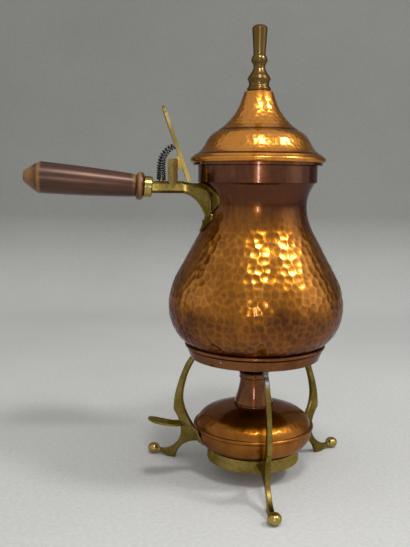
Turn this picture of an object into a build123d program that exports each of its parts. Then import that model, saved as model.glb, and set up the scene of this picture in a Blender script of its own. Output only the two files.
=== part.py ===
"""A side-handled copper pot on a spirit-burner stand, in millimetres, with +Z up.

Everything is drawn about the pot's upright axis, with the handle along -X, one leg at the front (-Y) and
the spout at the back (+Y). The finished pieces are then set so that the floor is at z = 0 under the middle
of the object's box.
"""

from build123d import *
import os
from math import acos, asin, atan2, cos, degrees, pi, radians, sin, sqrt

os.makedirs("parts", exist_ok=True)

# Sheet, clearances and small fits
pot_wall = 1.3
lid_wall = 1.1
burner_wall = 1.1
seat_gap = 0.3
sliding_gap = 0.5
pin_clearance = 0.05

# Stand: floor to ring
leg_angles = {"front": 0, "left": -120, "right": 120}
leg_thickness = 4.2
heel_length = 6.0
knee_height = 48.0
limb_depth = 9.8
foot_ball_radius = 5.8
foot_ball_reach = 103.7
heel_to_ball = 19.9
knee_to_heel = 2.4
foot_ball_height = 9.2
foot_ball_lift = 0.9
ring_lip_radius = 63.3
ring_lip_bead = 1.7
ring_top = 124.0
band_wall = 1.3
band_top_radius = 61.4
band_bottom_radius = 58.2
band_bottom = 111.2
leg_top = 117.4
gallery_radius = 42.0
gallery_wall = 1.5
gallery_bottom = 15.5
gallery_top = 26.5
gallery_ledge = 8.0
pad_radius = 4.2
pad_thickness = 1.6
gallery_rivet_radius = 1.25

# Spirit burner
burner_ridge_radius = 54.8
burner_ridge_bead = 1.7
burner_ridge_height = 47.0
burner_top = 66.3
burner_mouth_radius = 14.0
burner_handle_angle = -76.0
burner_handle_reach = 99.6
burner_handle_tip_height = 60.6
burner_handle_width = 17.5
burner_handle_neck = 8.5
burner_handle_thickness = 1.8
bell_base_radius = 17.8
bell_top_radius = 12.8
bell_top = 96.0
bell_plug_depth = 5.0
wick_tube_radius = 5.6
wick_tube_wall = 0.8
wick_tube_top = 98.0
wick_radius = 4.7
wick_top = 100.0

# Pot
foot_radius = 57.6
foot_bottom = 118.2
shoulder_radius = 62.0
belly_radius = 77.5
belly_height = 157.0
belly_bend = 57.3
neck_radius = 43.3
neck_height = 247.5
neck_bend = 52.5
collar_radius = 52.2
collar_wall = 1.3
collar_bottom = 266.5
mouth_height = 281.0

# Lid and finial
lid_rim_radius = 59.1
lid_rim_bead = 2.6
lid_rim_rise = 5.0
lid_shoulder_radius = 41.6
lid_shoulder_rise = 26.4
lid_groove_radius = 34.8
lid_groove_rise = 30.6
lid_groove_depth = 0.7
lid_top_radius = 12.7
lid_top_rise = 63.0
lid_plug_depth = 10.0
finial_height = 56.0
finial_tip_radius = 6.6
finial_waist_radius = 5.0
finial_collar_radius = 10.2
finial_stud_radius = 2.9
finial_stud_length = 8.0
finial_nut_width = 9.0
finial_nut_height = 4.0

# Spout at the back
spout_root_radius = 15.0
spout_root_height = 203.0
spout_reach = 95.0
spout_tip_height = 262.0
spout_tip_radius = 6.3
spout_wall = 1.1
strainer_hole_radius = 1.8
strainer_pitch = 6.0

# Handle
handle_tilt = 4.6
handle_rise = 14.5
arm_length = 49.2
ferrule_length = 7.0
ferrule_radius = 9.0
ferrule_pin_radius = 1.0
bead_length = 7.0
bead_radius = 12.2
grip_length = 95.5
grip_neck_radius = 9.9
grip_radius = 13.6
grip_ridge = 82.0
grip_end_radius = 4.3
rod_radius = 2.5
rod_in_arm = 12.0
rod_in_grip = 72.0
arm_width = 10.0
arm_height = 10.4
arm_bevel = 2.3
arm_straight = 26.5
saddle_thickness = 1.8
saddle_half_width = 25.2
saddle_drop = 24.0
bracket_rivet_radius = 1.5
bracket_rivet_head = 2.3

# Thumb lever, its post and its spring
post_from_end = 17.9
post_width = 8.3
post_depth = 12.8
post_height = 19.2
lever_pin_height = 13.2
lever_pin_radius = 1.1
lever_slot_width = 3.4
lever_lug_thickness = 3.0
lever_lug_radius = 3.2
lever_toe_reach = 14.4
lever_top_lean = 8.4
lever_height = 63.8
toe_rise = -0.2
lever_toe_thickness = 3.6
lever_top_thickness = 2.4
lever_top_width = 13.5
lever_toe_width = 8.5
spring_from_end = 8.0
spring_wire = 1.2
spring_radius = 3.4
spring_end_radius = 2.0
spring_turns = 10
spring_straight = 12.5
spring_bend_radius = 17.6
spring_bend_angle = 68.0
spring_peg_radius = 2.2
spring_peg_height = 6.0


def arc_from(start, tangent, end):
    """An arc that leaves start along tangent, or a line where end lies straight ahead."""
    if tangent.cross(end - start).length < 1e-6 * (end - start).length:
        return Line(start, end)
    return TangentArc(start, end, tangent=tangent)


def biarc(start, start_tangent, end, end_tangent):
    """Join two points and their directions by two arcs that meet in one direction."""
    across = end - start
    spread = 2 * (1 - start_tangent.dot(end_tangent))
    reach = across.dot(start_tangent + end_tangent)
    if spread < 1e-9:
        handle = across.dot(across) / (2 * reach)
    else:
        handle = (sqrt(reach**2 + spread * across.dot(across)) - reach) / spread
    first = start + start_tangent * handle
    second = end - end_tangent * handle
    middle = (first + second) * 0.5
    arc_from(start, start_tangent, middle)
    arc_from(middle, second - first, end)


def directions(knots):
    """The direction of a smooth curve at each of its knots: that of the circle through it and its neighbours."""
    chords = [after - before for before, after in zip(knots, knots[1:])]
    inner = [
        (before / before.length**2 + after / after.length**2).normalized()
        for before, after in zip(chords, chords[1:])
    ]
    first = chords[0].normalized()
    last = chords[-1].normalized()
    return (
        [(first * 2 * inner[0].dot(first) - inner[0]).normalized()]
        + inner
        + [(last * 2 * inner[-1].dot(last) - inner[-1]).normalized()]
    )


def smooth_curve(points, shift=0.0):
    """Draw arcs that flow through points, or past them at a distance to their left, and return its two ends."""
    knots = [Vector(*point) for point in points]
    tangents = directions(knots)
    moved = [knot + Vector(-tangent.Y, tangent.X) * shift for knot, tangent in zip(knots, tangents)]
    for i in range(len(moved) - 1):
        biarc(moved[i], tangents[i], moved[i + 1], tangents[i + 1])
    return moved[0], moved[-1]


def wall_section(points, wall):
    """Draw one arc for every three points and its copy one wall to the left, and close the two ends."""
    knots = [Vector(*point) for point in points]
    inside = [knot + Vector(-way.Y, way.X) * wall for knot, way in zip(knots, directions(knots))]
    for side in (knots, inside):
        for i in range(0, len(side) - 2, 2):
            ThreePointArc(side[i], side[i + 1], side[i + 2])
    Line(knots[0], inside[0])
    Line(knots[-1], inside[-1])


def between(first, second, share_out, share_up):
    """A point at one share of the way from first to second sideways, and at another share of it upwards."""
    return (
        first[0] + (second[0] - first[0]) * share_out,
        first[1] + (second[1] - first[1]) * share_up,
    )


def bend_radius(reach, rise):
    """The radius of an arc that starts upright and moves sideways by reach while it rises."""
    return (reach**2 + rise**2) / (2 * reach)


def radial_plane(angle, origin=(0, 0, 0)):
    """The upright plane whose first axis points outwards at an angle counted from the front, towards +X."""
    outwards = Vector(sin(radians(angle)), -cos(radians(angle)), 0)
    return Plane(origin=origin, x_dir=outwards, z_dir=outwards.cross(Vector(0, 0, 1)))


def facing_plane(angle, reach, height):
    """The plane that faces outwards at an angle, at a reach from the upright axis and a height."""
    outwards = Vector(sin(radians(angle)), -cos(radians(angle)), 0)
    return Plane(origin=outwards * reach + Vector(0, 0, height), x_dir=Vector(0, 0, 1), z_dir=outwards)


# Heights and places that several pieces share
shoulder_z = ring_top + seat_gap
body_top = collar_radius - collar_wall
mouth_radius = body_top - pot_wall
lid_rim_height = mouth_height + lid_rim_rise
lid_shoulder_height = mouth_height + lid_shoulder_rise
lid_groove_height = mouth_height + lid_groove_rise
lid_top = mouth_height + lid_top_rise
finial_top = lid_top + finial_height
heel_radius = foot_ball_reach - heel_to_ball
knee_radius = heel_radius - knee_to_heel
handle_start_x = -neck_radius - arm_length
handle_start_z = neck_height + handle_rise
arm_top = handle_start_z + arm_height / 2
arm_bottom = handle_start_z - arm_height / 2
arm_flare_x = handle_start_x + arm_straight
saddle_top = collar_bottom - 0.4
saddle_tip = neck_height - saddle_drop
post_x = handle_start_x + post_from_end
post_top = arm_top + post_height
lever_pin_z = arm_top + lever_pin_height
spring_x = handle_start_x + spring_from_end

# The pot's meridian: an arc up from the foot, the belly's arc, a straight flank and two arcs round the neck
foot_bend = bend_radius(belly_radius - shoulder_radius, belly_height - shoulder_z)
rim_bend = bend_radius(body_top - neck_radius, collar_bottom - neck_height)
foot_angle = degrees(asin((belly_height - shoulder_z) / foot_bend))
rim_angle = degrees(asin((collar_bottom - neck_height) / rim_bend))
belly_centre = Vector(belly_radius - belly_bend, belly_height)
neck_centre = Vector(neck_radius + neck_bend, neck_height)
bends_apart = neck_centre - belly_centre
flank_angle = degrees(atan2(bends_apart.Y, bends_apart.X) - acos((belly_bend + neck_bend) / bends_apart.length))


def pot_profile(inwards=0.0):
    """Draw the meridian, or its copy at a distance towards the axis, and return its two ends."""
    foot = CenterArc((belly_radius - foot_bend, belly_height), foot_bend - inwards, -foot_angle, foot_angle)
    belly = CenterArc(belly_centre, belly_bend - inwards, 0, flank_angle)
    neck = CenterArc(neck_centre, neck_bend + inwards, 180 + flank_angle, -flank_angle)
    rim = CenterArc((neck_radius + rim_bend, neck_height), rim_bend + inwards, 180, -rim_angle)
    Line(belly @ 1, neck @ 0)
    return foot @ 0, rim @ 1


def pot_wall_section(inwards, thickness):
    """Draw the closed section between two copies of the meridian."""
    start, end = pot_profile(inwards)
    other_start, other_end = pot_profile(inwards + thickness)
    Line(start, other_start)
    Line(end, other_end)


def neck_reach(height):
    """The pot's outer radius at a height on its neck."""
    bend = rim_bend if height > neck_height else neck_bend
    return neck_radius + bend - sqrt(bend**2 - (height - neck_height) ** 2)


# The pot's outside as one solid, to trim what is fixed to it
with BuildPart() as pot_envelope:
    with BuildSketch(Plane.XZ):
        with BuildLine():
            start, end = pot_profile()
            Polyline(
                end,
                (collar_radius, collar_bottom),
                (collar_radius, mouth_height),
                (0, mouth_height),
                (0, shoulder_z),
                start,
            )
        make_face()
    revolve(axis=Axis.Z)

# Stand ring: a tapered band with a rolled lip, on which the pot rests
band_inside = band_bottom_radius - band_wall
with BuildPart() as stand_ring:
    with BuildSketch(Plane.XZ):
        lip_z = ring_top - ring_lip_bead
        groove_radius = band_top_radius - 0.8
        with BuildLine():
            Polyline(
                (band_bottom_radius, band_bottom),
                (band_top_radius, lip_z - 2.8),
                (groove_radius, lip_z - 1.8),
                (groove_radius, lip_z),
                (groove_radius - band_wall, lip_z),
                (band_top_radius - band_wall, lip_z - 2.8),
                (band_inside, band_bottom),
                close=True,
            )
        make_face()
        with Locations((ring_lip_radius - ring_lip_bead, lip_z)):
            Circle(ring_lip_bead)
    revolve(axis=Axis.Z)
    with Locations(facing_plane(-38, band_top_radius, band_bottom + 5.5)):
        Hole(radius=0.9, depth=6)
stand_ring.part.label = "stand_ring"

# Gallery ring that carries the burner, with a ledge inside its lower edge
with BuildPart() as gallery_rivets:
    with BuildSketch(radial_plane(0)):
        with BuildLine():
            inner_face = gallery_radius - gallery_wall
            rivet_z = (gallery_bottom + gallery_top) / 2
            Polyline(
                (inner_face, rivet_z),
                (inner_face, rivet_z + gallery_rivet_radius + 0.9),
                (inner_face + 0.9, rivet_z + gallery_rivet_radius),
                (gallery_radius + pad_thickness - 0.4, rivet_z + gallery_rivet_radius),
                (gallery_radius + pad_thickness - 0.4, rivet_z),
                close=True,
            )
        make_face()
    revolve(axis=Axis((0, 0, rivet_z), (0, -1, 0)))
front_rivet = gallery_rivets.part
with BuildPart() as gallery_rivets:
    for angle in leg_angles.values():
        add(front_rivet.rotate(Axis.Z, angle))
gallery_rivets.part.label = "gallery_rivets"

with BuildPart() as gallery_ring:
    with BuildSketch(Plane.XZ):
        with BuildLine():
            Polyline(
                (gallery_radius, gallery_bottom),
                (gallery_radius, gallery_top),
                (gallery_radius - gallery_wall, gallery_top),
                (gallery_radius - gallery_wall, gallery_bottom + gallery_wall),
                (gallery_radius - gallery_ledge, gallery_bottom + gallery_wall),
                (gallery_radius - gallery_ledge, gallery_bottom),
                close=True,
            )
        make_face()
    revolve(axis=Axis.Z)
    add(gallery_rivets.part, mode=Mode.SUBTRACT)
gallery_ring.part.label = "gallery_ring"

# One flat cast leg: cabriole upper limb, web to the gallery ring, heel on the floor and upturned toe
collar_length = 1.4
toe_end = foot_ball_reach - foot_ball_radius - collar_length
toe_low = foot_ball_lift + 2.0
with BuildPart() as front_leg:
    with BuildSketch(radial_plane(0)):
        with BuildLine():
            knee = (knee_radius, knee_height)
            inner_knee = (knee_radius - limb_depth, knee_height + 8.0)
            outer_root = (band_inside - 0.3, band_bottom - 0.4)
            inner_root = (band_inside - 4.4, band_bottom)
            limb_top, _ = smooth_curve([
                (band_inside + 1.4, leg_top),
                outer_root,
                between(outer_root, knee, 0.31, 0.14),
                between(outer_root, knee, 0.76, 0.51),
                between(outer_root, knee, 0.97, 0.825),
                knee,
            ])
            _, toe_top = smooth_curve([
                knee,
                (heel_radius - 8.8, knee_height * 0.76),
                (heel_radius - 9.8, knee_height * 0.51),
                (heel_radius + 0.5, toe_low + 7.7),
                (toe_end, toe_low + 3.2),
            ])
            toe_under, heel_front = smooth_curve([
                (toe_end, toe_low),
                (toe_end - 5.0, 1.6),
                (heel_radius + heel_length / 2, 0),
            ])
            heel_back, web_under = smooth_curve([
                (heel_radius - heel_length / 2, 0),
                (heel_radius - 8.4, 10.6),
                (heel_radius - 17.8, 18.0),
                (gallery_radius - 1, rivet_z - pad_radius + 1),
            ])
            web_top, limb_end = smooth_curve([
                (gallery_radius - 1, rivet_z + pad_radius - 1),
                (gallery_radius + 10.0, gallery_top + 0.1),
                (inner_knee[0] - 9.0, knee_height * 0.78),
                inner_knee,
                between(inner_root, inner_knee, 0.84, 0.54),
                between(inner_root, inner_knee, 0.37, 0.20),
                inner_root,
                (band_inside - 4.0, leg_top),
            ])
            Line(limb_top, limb_end)
            Line(toe_top, toe_under)
            Line(heel_front, heel_back)
            Line(web_under, web_top)
        make_face()
    extrude(amount=leg_thickness / 2, both=True)
    chamfer(front_leg.faces().filter_by(Axis.X).edges().filter_by(lambda edge: edge.length > 5), 0.6)
    with BuildSketch(facing_plane(0, gallery_radius - 1, rivet_z)):
        Circle(pad_radius)
    extrude(amount=pad_thickness + 1)
    with BuildSketch(Plane.XY):
        Circle(gallery_radius)
    extrude(amount=gallery_top + 5, mode=Mode.SUBTRACT)
    add(front_rivet, mode=Mode.SUBTRACT)

# One foot ball: a flattened button with the collar that joins it to the toe
with BuildPart() as front_ball:
    ball_z = foot_ball_lift + foot_ball_height / 2
    with BuildSketch(Plane(origin=(0, -foot_ball_reach, 0), x_dir=(1, 0, 0), z_dir=(0, -1, 0))):
        with BuildLine():
            ball_top = foot_ball_lift + foot_ball_height
            flat_radius = foot_ball_radius * 0.25
            ThreePointArc(
                (flat_radius, foot_ball_lift),
                (foot_ball_radius, ball_z),
                (flat_radius, ball_top),
            )
            Polyline((flat_radius, ball_top), (0, ball_top), (0, foot_ball_lift), (flat_radius, foot_ball_lift))
        make_face()
    revolve(axis=Axis((0, -foot_ball_reach, 0), (0, 0, 1)))
    with BuildSketch(facing_plane(0, toe_end, toe_low + 1.6)):
        Circle(2.4)
    extrude(amount=collar_length + 1.5)

stand_pieces = []
for side, angle in leg_angles.items():
    leg = front_leg.part.rotate(Axis.Z, angle)
    leg.label = f"leg_{side}"
    ball = front_ball.part.rotate(Axis.Z, angle)
    ball.label = f"foot_ball_{side}"
    stand_pieces += [leg, ball]

# Burner: a domed reservoir in two sheets, seamed at its widest line
cup_radius = gallery_radius - gallery_wall - sliding_gap
cup_bottom = gallery_bottom + gallery_wall + seat_gap
seam_radius = burner_ridge_radius - burner_ridge_bead
flare_z = gallery_top + seat_gap
cup_foot = (cup_radius + 0.6, flare_z + 0.2)
cup_rim = (seam_radius + 0.2, burner_ridge_height - 2.0)
cup_curve = [cup_foot, between(cup_foot, cup_rim, 0.63, 0.27), cup_rim]
dome_rim = (seam_radius - 0.4, burner_ridge_height + 0.6)
dome_mouth = (burner_mouth_radius, burner_top)
dome_curve = [
    dome_rim,
    between(dome_rim, dome_mouth, 0.09, 0.34),
    between(dome_rim, dome_mouth, 0.33, 0.65),
    between(dome_rim, dome_mouth, 0.64, 0.87),
    dome_mouth,
]
with BuildPart() as burner_envelope:
    with BuildSketch(Plane.XZ):
        with BuildLine():
            ThreePointArc(*cup_curve)
            Polyline(cup_rim, (0, burner_ridge_height), (0, cup_bottom), (cup_radius, cup_bottom), cup_foot)
        make_face()
        with Locations((seam_radius, burner_ridge_height)):
            Circle(burner_ridge_bead)
        with Locations((0, burner_ridge_height)):
            Rectangle(seam_radius, burner_ridge_bead, align=(Align.MIN, Align.CENTER))
        with BuildLine():
            Polyline((-90, 0), (-90, 90), (0, 90), (0, 0), close=True)
        make_face(mode=Mode.SUBTRACT)
    revolve(axis=Axis.Z)

with BuildPart() as burner_cup:
    with BuildSketch(Plane.XZ):
        with BuildLine():
            wall_section(cup_curve, burner_wall)
        make_face()
        with BuildLine():
            Polyline(
                (0, cup_bottom),
                (cup_radius - 1.5, cup_bottom),
                (cup_radius, cup_bottom + 1.5),
                (cup_radius, flare_z + 0.2),
                (cup_radius + 0.7, flare_z + 0.2),
                (cup_radius - 0.1, flare_z + burner_wall + 0.4),
                (cup_radius - burner_wall, flare_z + 0.4),
                (cup_radius - burner_wall, cup_bottom + burner_wall + 0.6),
                (cup_radius - burner_wall - 0.6, cup_bottom + burner_wall),
                (0, cup_bottom + burner_wall),
                close=True,
            )
        make_face()
    revolve(axis=Axis.Z)

with BuildPart() as burner_dome:
    with BuildSketch(Plane.XZ):
        with BuildLine():
            wall_section(dome_curve, burner_wall)
        make_face()
        with Locations((seam_radius, burner_ridge_height)):
            Circle(burner_ridge_bead)
    revolve(axis=Axis.Z)
    add(burner_cup.part, mode=Mode.SUBTRACT)
burner_dome.part.label = "burner_dome"

# Strap handle of the burner: a bent brass strip that widens into a leaf
strap_plane = radial_plane(burner_handle_angle)
half_strap = burner_handle_thickness / 2
with BuildPart() as burner_handle:
    with BuildSketch(strap_plane):
        with BuildLine():
            wall_section(
                [
                    (cup_foot[0] + 9.9, burner_ridge_height - 14.8),
                    (seam_radius + 1.2, burner_ridge_height - 8.6),
                    (burner_ridge_radius + 2.4, burner_ridge_height - 1.4),
                    (burner_ridge_radius + 7.6, burner_ridge_height + 3.4),
                    (burner_ridge_radius + 21.2, burner_ridge_height + 7.0),
                    (burner_ridge_radius + 33.0, burner_ridge_height + 10.1),
                    (burner_handle_reach, burner_handle_tip_height),
                ],
                burner_handle_thickness,
            )
        make_face()
    extrude(amount=burner_handle_width, both=True)
    with BuildSketch(Plane(origin=(0, 0, 0), x_dir=strap_plane.x_dir, z_dir=(0, 0, 1))):
        leaf_centre = burner_handle_reach - burner_handle_width / 2
        with BuildLine():
            root, widest = smooth_curve([
                (45, burner_handle_neck / 2 + 0.4),
                (64, burner_handle_neck / 2),
                (78, burner_handle_width / 2 - 1.4),
                (leaf_centre, burner_handle_width / 2),
            ])
            CenterArc((leaf_centre, 0), burner_handle_width / 2, 0, 90)
            Line((45, 0), root)
            mirror(about=Plane.XZ)
        make_face()
    extrude(amount=90, mode=Mode.INTERSECT)
    add(burner_envelope.part, mode=Mode.SUBTRACT)

with BuildPart() as burner_rivets:
    with BuildSketch(facing_plane(burner_handle_angle, 46.5, 36.0)):
        with Locations((0, -2.4), (0, 2.4)):
            Circle(0.9)
    extrude(amount=7.6)
burner_rivets.part.label = "burner_rivets"
with BuildPart() as burner_handle_holed:
    add(burner_handle.part)
    add(burner_rivets.part, mode=Mode.SUBTRACT)
burner_handle_holed.part.label = "burner_handle"
with BuildPart() as burner_cup_holed:
    add(burner_cup.part)
    add(burner_rivets.part, mode=Mode.SUBTRACT)
burner_cup_holed.part.label = "burner_cup"

# Wick holder: the flared neck that lifts out of the burner's mouth, its tube and its wick
plug_radius = burner_mouth_radius - sliding_gap
bell_base = burner_top + seat_gap
bell_curve = [
    (bell_base_radius, bell_base + 1.0),
    ((bell_base_radius + bell_top_radius) / 2 - 0.9, bell_base + 11.5),
    (bell_top_radius - 0.8, bell_top - 1.0),
]
with BuildPart() as burner_bell:
    with BuildSketch(Plane.XZ):
        with BuildLine():
            wall_section(bell_curve, burner_wall)
        make_face()
        with BuildLine():
            Polyline(
                (bell_base_radius, bell_base),
                (bell_base_radius, bell_base + 1.6),
                (wick_tube_radius, bell_base + 1.6),
                (wick_tube_radius, bell_base - bell_plug_depth),
                (plug_radius, bell_base - bell_plug_depth),
                (plug_radius, bell_base),
                close=True,
            )
        make_face()
        with Locations((bell_top_radius - 1.0, bell_top - 1.0)):
            Circle(1.0)
    revolve(axis=Axis.Z)
burner_bell.part.label = "burner_bell"

with BuildPart() as wick_tube:
    with BuildSketch(Plane.XY.offset(bell_base - bell_plug_depth - 6)):
        Circle(wick_tube_radius)
        Circle(wick_tube_radius - wick_tube_wall, mode=Mode.SUBTRACT)
    extrude(amount=wick_tube_top - bell_base + bell_plug_depth + 6)
wick_tube.part.label = "wick_tube"

with BuildPart() as wick:
    with BuildSketch(Plane.XY.offset(cup_bottom + burner_wall + 6)):
        Circle(wick_radius)
    extrude(amount=wick_top - cup_bottom - burner_wall - 6)
    fillet(wick.edges().sort_by(Axis.Z)[-1], 1.2)
wick.part.label = "wick"

# Pot: spun body, base plate with its locating foot, and the plain collar round the mouth
wing_rivet = (neck_height + 9.0, 17.5)
tail_rivet_height = neck_height - 16.0
with BuildPart() as bracket_rivets:
    for height, side_y in (wing_rivet, (wing_rivet[0], -wing_rivet[1]), (tail_rivet_height, 0)):
        surface = neck_reach(height)
        azimuth = -90 + degrees(asin(side_y / surface))
        with BuildSketch(facing_plane(azimuth, surface - pot_wall - 2.2, height)):
            Circle(bracket_rivet_radius)
        extrude(amount=pot_wall + saddle_thickness + 2.4)
        with BuildSketch(facing_plane(azimuth, surface - pot_wall - 2.2, height)):
            Circle(bracket_rivet_head)
        extrude(amount=1.0)
        with BuildSketch(facing_plane(azimuth, surface + saddle_thickness + 0.2, height)):
            Circle(bracket_rivet_head)
        extrude(amount=0.7)
bracket_rivets.part.label = "bracket_rivets"

with BuildPart() as pot_body:
    with BuildSketch(Plane.XZ):
        with BuildLine():
            pot_wall_section(0, pot_wall)
        make_face()
        with BuildLine():
            Polyline(
                (body_top, collar_bottom),
                (body_top, mouth_height),
                (mouth_radius, mouth_height),
                (mouth_radius, collar_bottom),
                (mouth_radius - 0.9, collar_bottom - 1.0),
                (body_top - 1.2, collar_bottom - 1.0),
                close=True,
            )
        make_face()
        with BuildLine():
            Polyline(
                (foot_radius, shoulder_z),
                (foot_radius + 4.0, shoulder_z),
                (foot_radius + 4.6, shoulder_z + 0.4),
                (foot_radius + 4.0, shoulder_z + pot_wall + 0.4),
                (foot_radius, shoulder_z + pot_wall),
                close=True,
            )
        make_face()
    revolve(axis=Axis.Z)
    with BuildSketch(Plane(origin=(0, 0, spout_root_height + 3), x_dir=(1, 0, 0), z_dir=(0, 1, 0))):
        with HexLocations(strainer_pitch / 2, 3, 3):
            Circle(strainer_hole_radius)
    extrude(amount=90, mode=Mode.SUBTRACT)
    add(bracket_rivets.part, mode=Mode.SUBTRACT)
pot_body.part.label = "pot_body"

crown_rise = 2.0
crown_edge = foot_radius - 6.0
with BuildPart() as pot_base:
    with BuildSketch(Plane.XZ):
        with BuildLine():
            inside = foot_bottom + pot_wall
            Polyline(
                (crown_edge, inside),
                (foot_radius - 2.0, inside),
                (foot_radius - pot_wall, inside + 0.7),
                (foot_radius - pot_wall, shoulder_z + pot_wall),
                (foot_radius, shoulder_z + pot_wall),
                (foot_radius, foot_bottom + 1.6),
                (foot_radius - 1.6, foot_bottom),
                (crown_edge, foot_bottom),
                (crown_edge - 4.0, foot_bottom + crown_rise),
                (0, foot_bottom + crown_rise),
                (0, inside + crown_rise),
                (crown_edge - 4.0, inside + crown_rise),
                close=True,
            )
        make_face()
    revolve(axis=Axis.Z)
pot_base.part.label = "pot_base"

with BuildPart() as neck_collar:
    with BuildSketch(Plane.XY.offset(collar_bottom)):
        Circle(collar_radius)
        Circle(body_top, mode=Mode.SUBTRACT)
    extrude(amount=mouth_height - collar_bottom)
    fillet(neck_collar.edges().group_by(Axis.Z)[-1].sort_by(SortBy.RADIUS)[-1], 0.5)
neck_collar.part.label = "neck_collar"

# Spout: a tapered tube that rises from the flank and opens level with the collar
def spout_solid(shrink):
    """The spout's outside, or its bore when every section is drawn in by the wall."""
    stations = [
        (spout_reach - 47.0, spout_root_height - 9, 52.0, spout_root_radius + 2.0),
        (spout_reach - 29.0, spout_root_height + 8, 46.0, spout_root_radius - 1.6),
        (spout_reach - 14.5, spout_root_height + 29, 60.0, spout_tip_radius + 3.0),
        (spout_reach, spout_tip_height, 68.0, spout_tip_radius),
    ]
    with BuildPart() as tube:
        for reach, height, rise, radius in stations:
            lean = radians(rise)
            with BuildSketch(Plane(origin=(0, reach, height), x_dir=(1, 0, 0), z_dir=(0, cos(lean), sin(lean)))):
                Circle(radius - shrink)
        loft()
    return tube.part


with BuildPart() as spout:
    add(spout_solid(0))
    add(spout_solid(spout_wall), mode=Mode.SUBTRACT)
    with Locations((0, 0, spout_tip_height - 1.5)):
        Box(60, 260, 40, align=(Align.CENTER, Align.CENTER, Align.MIN), mode=Mode.SUBTRACT)
    add(pot_envelope.part, mode=Mode.SUBTRACT)
spout.part.label = "spout"

# Lid: spun cone with two stepped lines and a rolled rim, and the plug that centres it in the mouth
lid_bottom = mouth_height + seat_gap
lid_rim_inner = lid_rim_radius - lid_rim_bead
flare_top = lid_groove_radius + lid_groove_depth
lid_rim = (lid_rim_radius, lid_rim_height)
lid_shoulder = (lid_shoulder_radius, lid_shoulder_height)
flare_foot = (lid_rim_radius - 3.6, lid_rim_height + 4.2)
cone_foot = (lid_groove_radius, lid_groove_height)
cone_top = (lid_top_radius, lid_top)
with BuildPart() as lid:
    with BuildSketch(Plane.XZ):
        with BuildLine():
            wall_section(
                [
                    flare_foot,
                    between(lid_rim, lid_shoulder, 0.51, 0.355),
                    between(lid_rim, lid_shoulder, 0.74, 0.60),
                    between(lid_rim, lid_shoulder, 0.97, 0.92),
                    (flare_top, lid_groove_height - 0.6),
                ],
                lid_wall,
            )
        make_face()
        with BuildLine():
            wall_section(
                [cone_foot, between(cone_foot, cone_top, 0.63, 0.40), cone_top],
                lid_wall,
            )
        make_face()
        with BuildLine():
            Polyline(
                (flare_top + 0.2, lid_groove_height - 0.7),
                (lid_groove_radius + 0.1, lid_groove_height - 0.1),
                (lid_groove_radius - 1.2, lid_groove_height - 0.4),
                (lid_groove_radius - 0.6, lid_groove_height - 2.0),
                close=True,
            )
        make_face()
        with Locations((lid_rim_inner, lid_rim_height)):
            Circle(lid_rim_bead)
        with BuildLine():
            Polyline(
                (lid_rim_inner - 2.4, lid_rim_height + 1.0),
                (lid_rim_inner + 0.8, lid_rim_height + 2.2),
                (lid_rim_radius - 3.5, lid_rim_height + 4.3),
                (lid_rim_radius - 4.6, lid_rim_height + 4.6),
                (lid_rim_radius - 6.0, lid_rim_height + 4.0),
                close=True,
            )
        make_face()
        with Locations((0, lid_top)):
            Rectangle(lid_top_radius, 1.4, align=(Align.MIN, Align.MAX))
        Rectangle(lid_rim_radius, 2 * lid_top, align=(Align.MAX, Align.MIN), mode=Mode.SUBTRACT)
    revolve(axis=Axis.Z)
    with Locations((0, 0, lid_top)):
        Hole(finial_stud_radius + pin_clearance, depth=6)
lid.part.label = "lid"

with BuildPart() as lid_plug:
    plug_outside = mouth_radius - sliding_gap
    with BuildSketch(Plane.XZ):
        with BuildLine():
            Polyline(
                (plug_outside, lid_bottom - lid_plug_depth),
                (plug_outside, lid_bottom),
                (lid_rim_inner, lid_bottom),
                (lid_rim_inner, lid_rim_height - lid_rim_bead + 0.4),
                (lid_rim_inner - lid_wall, lid_rim_height - lid_rim_bead + 0.4),
                (lid_rim_inner - lid_wall, lid_bottom + lid_wall),
                (plug_outside - lid_wall, lid_bottom + lid_wall),
                (plug_outside - lid_wall, lid_bottom - lid_plug_depth),
                close=True,
            )
        make_face()
    revolve(axis=Axis.Z)
    add(lid.part, mode=Mode.SUBTRACT)
lid_plug.part.label = "lid_plug"

with BuildPart() as finial:
    with BuildSketch(Plane.XZ):
        with BuildLine():
            foot_start, foot_end = smooth_curve([
                (9.4, lid_top),
                (10.3, lid_top + 2.0),
                (8.7, lid_top + 6.2),
                (finial_collar_radius, lid_top + 11.0),
            ])
            waist_start, waist_end = smooth_curve([
                (finial_collar_radius - 1.4, lid_top + 13.6),
                (finial_waist_radius + 1.8, lid_top + 16.4),
                (finial_waist_radius, lid_top + 21.0),
                (finial_waist_radius + 1.9, lid_top + 27.4),
                (finial_waist_radius + 0.2, lid_top + 31.2),
            ])
            rim = (finial_tip_radius, finial_top - 2.4)
            crest = (finial_tip_radius * 0.25, finial_top)
            ThreePointArc(rim, (finial_tip_radius * 0.78, finial_top - 0.7), crest)
            Line(foot_end, waist_start)
            Line(waist_end, rim)
            Polyline(
                crest,
                (0, finial_top),
                (0, lid_top - finial_stud_length),
                (finial_stud_radius, lid_top - finial_stud_length),
                (finial_stud_radius, lid_top),
                foot_start,
            )
        make_face()
    revolve(axis=Axis.Z)
finial.part.label = "finial"

with BuildPart() as finial_nut:
    with BuildSketch(Plane.XY.offset(lid_top - 1.4 - finial_nut_height)):
        RegularPolygon(finial_nut_width / 2, 6, major_radius=False)
        Circle(finial_stud_radius, mode=Mode.SUBTRACT)
    extrude(amount=finial_nut_height)
finial_nut.part.label = "finial_nut"

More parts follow.
